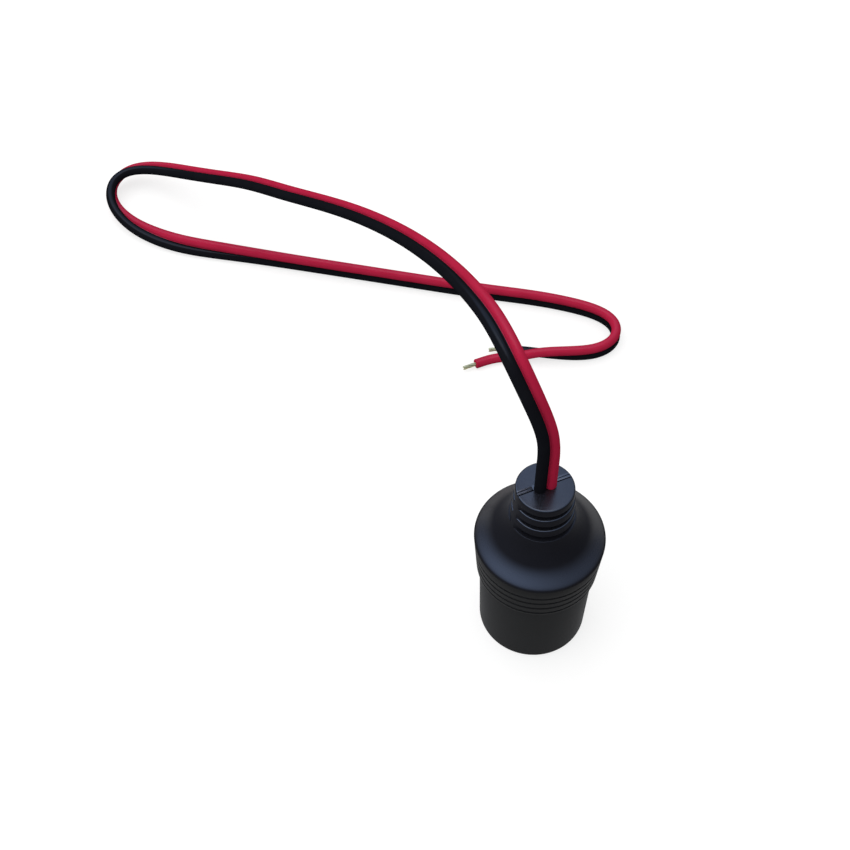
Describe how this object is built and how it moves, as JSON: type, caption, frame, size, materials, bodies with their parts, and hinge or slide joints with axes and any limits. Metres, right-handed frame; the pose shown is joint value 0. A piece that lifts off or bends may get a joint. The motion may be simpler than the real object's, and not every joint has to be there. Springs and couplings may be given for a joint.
{
  "type": "cigarette lighter socket",
  "caption": "Round accessory power socket with a metal-lined bore, grooved boot, slotted strain relief and a short red and black twin lead with stripped ends.",
  "frame": {"origin": "centre of the mouth's rim, on the surface that the socket stands on", "axes": "+Z along the socket's axis towards the lead, +X along the boot's parting line from the black wire to the red one"},
  "size_m": [0.1258, 0.2084, 0.1014],
  "materials": {
    "barrel_plastic": "black moulded plastic, satin, fine grain",
    "boot_plastic": "black moulded soft plastic, satin sheen, fine grain",
    "plated_steel": "nickel plate, fine draw marks",
    "phenolic": "dark brown moulded phenolic",
    "brass": "pressed brass, slightly dulled",
    "fibre": "red vulcanised fibre, matt",
    "tinned_brass": "tin plate, satin",
    "tinned_copper": "tinned copper strands, twisted",
    "solder": "smooth solder, slightly dull",
    "red_pvc": "soft red PVC, low sheen",
    "black_pvc": "soft black PVC, low sheen",
    "lead_pvc": "soft PVC, one half red and the other black, low sheen"
  },
  "bodies": {
    "root": {"front_barrel": "barrel_plastic", "rear_boot": "boot_plastic", "ground_shell": "plated_steel", "insulator": "phenolic", "centre_contact": "brass", "centre_rivet": "brass", "insulating_washer": "fibre", "positive_tag": "tinned_brass", "negative_tag": "tinned_brass", "ground_rivet": "plated_steel", "red_inner_wire": "red_pvc", "black_inner_wire": "black_pvc", "red_inner_strands": "tinned_copper", "black_inner_strands": "tinned_copper", "red_solder": "solder", "black_solder": "solder", "twin_lead": "lead_pvc", "red_bare_end": "tinned_copper", "black_bare_end": "tinned_copper"}
  },
  "joints": []
}
